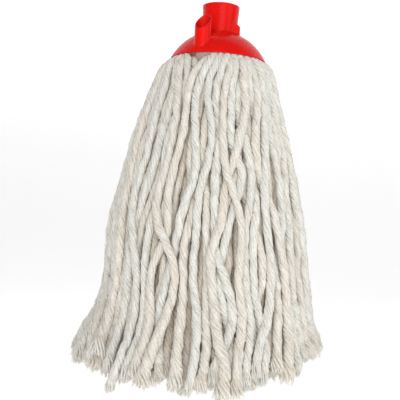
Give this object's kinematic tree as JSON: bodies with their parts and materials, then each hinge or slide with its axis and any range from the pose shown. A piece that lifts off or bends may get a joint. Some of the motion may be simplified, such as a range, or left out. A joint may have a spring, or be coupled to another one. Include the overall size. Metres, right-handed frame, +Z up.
{
  "type": "string mop head",
  "caption": "String mop head: red plastic cap with a threaded handle socket and a full skirt of twisted cotton yarns.",
  "frame": {"origin": "centre of the handle socket's mouth", "axes": "+Z up along the handle, out of the socket; the side tube stands at the front, towards -Y, a little to -X"},
  "size_m": [0.1991, 0.2002, 0.314],
  "materials": {
    "cap_red_plastic": "moulded, softly glossy",
    "retainer_white_plastic": "moulded, satin",
    "cotton_yarn": "undyed cotton yarn, twisted",
    "inner_cotton": "undyed cotton yarn, twisted"
  },
  "bodies": {
    "cap": {"socket_cap": "cap_red_plastic", "yarn_retainer": "retainer_white_plastic", "clamped_yarn_roots": "inner_cotton"},
    "yarn_sector_01": {"outer_yarn_01": "cotton_yarn", "outer_yarn_02": "cotton_yarn", "outer_yarn_03": "cotton_yarn", "inner_yarns_01": "inner_cotton"},
    "yarn_sector_02": {"outer_yarn_04": "cotton_yarn", "outer_yarn_05": "cotton_yarn", "outer_yarn_06": "cotton_yarn", "inner_yarns_02": "inner_cotton"},
    "yarn_sector_03": {"outer_yarn_07": "cotton_yarn", "outer_yarn_08": "cotton_yarn", "outer_yarn_09": "cotton_yarn", "inner_yarns_03": "inner_cotton"},
    "yarn_sector_04": {"outer_yarn_10": "cotton_yarn", "outer_yarn_11": "cotton_yarn", "outer_yarn_12": "cotton_yarn", "inner_yarns_04": "inner_cotton"},
    "yarn_sector_05": {"outer_yarn_13": "cotton_yarn", "outer_yarn_14": "cotton_yarn", "outer_yarn_15": "cotton_yarn", "inner_yarns_05": "inner_cotton"},
    "yarn_sector_06": {"outer_yarn_16": "cotton_yarn", "outer_yarn_17": "cotton_yarn", "outer_yarn_18": "cotton_yarn", "inner_yarns_06": "inner_cotton"},
    "yarn_sector_07": {"outer_yarn_19": "cotton_yarn", "outer_yarn_20": "cotton_yarn", "outer_yarn_21": "cotton_yarn", "inner_yarns_07": "inner_cotton"},
    "yarn_sector_08": {"outer_yarn_22": "cotton_yarn", "outer_yarn_23": "cotton_yarn", "outer_yarn_24": "cotton_yarn", "inner_yarns_08": "inner_cotton"},
    "yarn_sector_09": {"outer_yarn_25": "cotton_yarn", "outer_yarn_26": "cotton_yarn", "outer_yarn_27": "cotton_yarn", "inner_yarns_09": "inner_cotton"},
    "yarn_sector_10": {"outer_yarn_28": "cotton_yarn", "outer_yarn_29": "cotton_yarn", "outer_yarn_30": "cotton_yarn", "inner_yarns_10": "inner_cotton"},
    "yarn_sector_11": {"outer_yarn_31": "cotton_yarn", "outer_yarn_32": "cotton_yarn", "outer_yarn_33": "cotton_yarn", "inner_yarns_11": "inner_cotton"},
    "yarn_sector_12": {"outer_yarn_34": "cotton_yarn", "outer_yarn_35": "cotton_yarn", "outer_yarn_36": "cotton_yarn", "inner_yarns_12": "inner_cotton"}
  },
  "joints": [
    {"name": "yarn_swing_01", "type": "hinge", "parent": "cap", "child": "yarn_sector_01", "pos_m": [0, -0.042, -0.0485], "axis": [-1, 0, 0], "range_deg": [0, 75]},
    {"name": "yarn_swing_02", "type": "hinge", "parent": "cap", "child": "yarn_sector_02", "pos_m": [0.021, -0.03637, -0.0485], "axis": [-0.866, -0.5, 0], "range_deg": [0, 75]},
    {"name": "yarn_swing_03", "type": "hinge", "parent": "cap", "child": "yarn_sector_03", "pos_m": [0.03637, -0.021, -0.0485], "axis": [-0.5, -0.866, 0], "range_deg": [0, 75]},
    {"name": "yarn_swing_04", "type": "hinge", "parent": "cap", "child": "yarn_sector_04", "pos_m": [0.042, 0, -0.0485], "axis": [0, -1, 0], "range_deg": [0, 75]},
    {"name": "yarn_swing_05", "type": "hinge", "parent": "cap", "child": "yarn_sector_05", "pos_m": [0.03637, 0.021, -0.0485], "axis": [0.5, -0.866, 0], "range_deg": [0, 75]},
    {"name": "yarn_swing_06", "type": "hinge", "parent": "cap", "child": "yarn_sector_06", "pos_m": [0.021, 0.03637, -0.0485], "axis": [0.866, -0.5, 0], "range_deg": [0, 75]},
    {"name": "yarn_swing_07", "type": "hinge", "parent": "cap", "child": "yarn_sector_07", "pos_m": [0, 0.042, -0.0485], "axis": [1, 0, 0], "range_deg": [0, 75]},
    {"name": "yarn_swing_08", "type": "hinge", "parent": "cap", "child": "yarn_sector_08", "pos_m": [-0.021, 0.03637, -0.0485], "axis": [0.866, 0.5, 0], "range_deg": [0, 75]},
    {"name": "yarn_swing_09", "type": "hinge", "parent": "cap", "child": "yarn_sector_09", "pos_m": [-0.03637, 0.021, -0.0485], "axis": [0.5, 0.866, 0], "range_deg": [0, 75]},
    {"name": "yarn_swing_10", "type": "hinge", "parent": "cap", "child": "yarn_sector_10", "pos_m": [-0.042, 0, -0.0485], "axis": [0, 1, 0], "range_deg": [0, 75]},
    {"name": "yarn_swing_11", "type": "hinge", "parent": "cap", "child": "yarn_sector_11", "pos_m": [-0.03637, -0.021, -0.0485], "axis": [-0.5, 0.866, 0], "range_deg": [0, 75]},
    {"name": "yarn_swing_12", "type": "hinge", "parent": "cap", "child": "yarn_sector_12", "pos_m": [-0.021, -0.03637, -0.0485], "axis": [-0.866, 0.5, 0], "range_deg": [0, 75]}
  ]
}
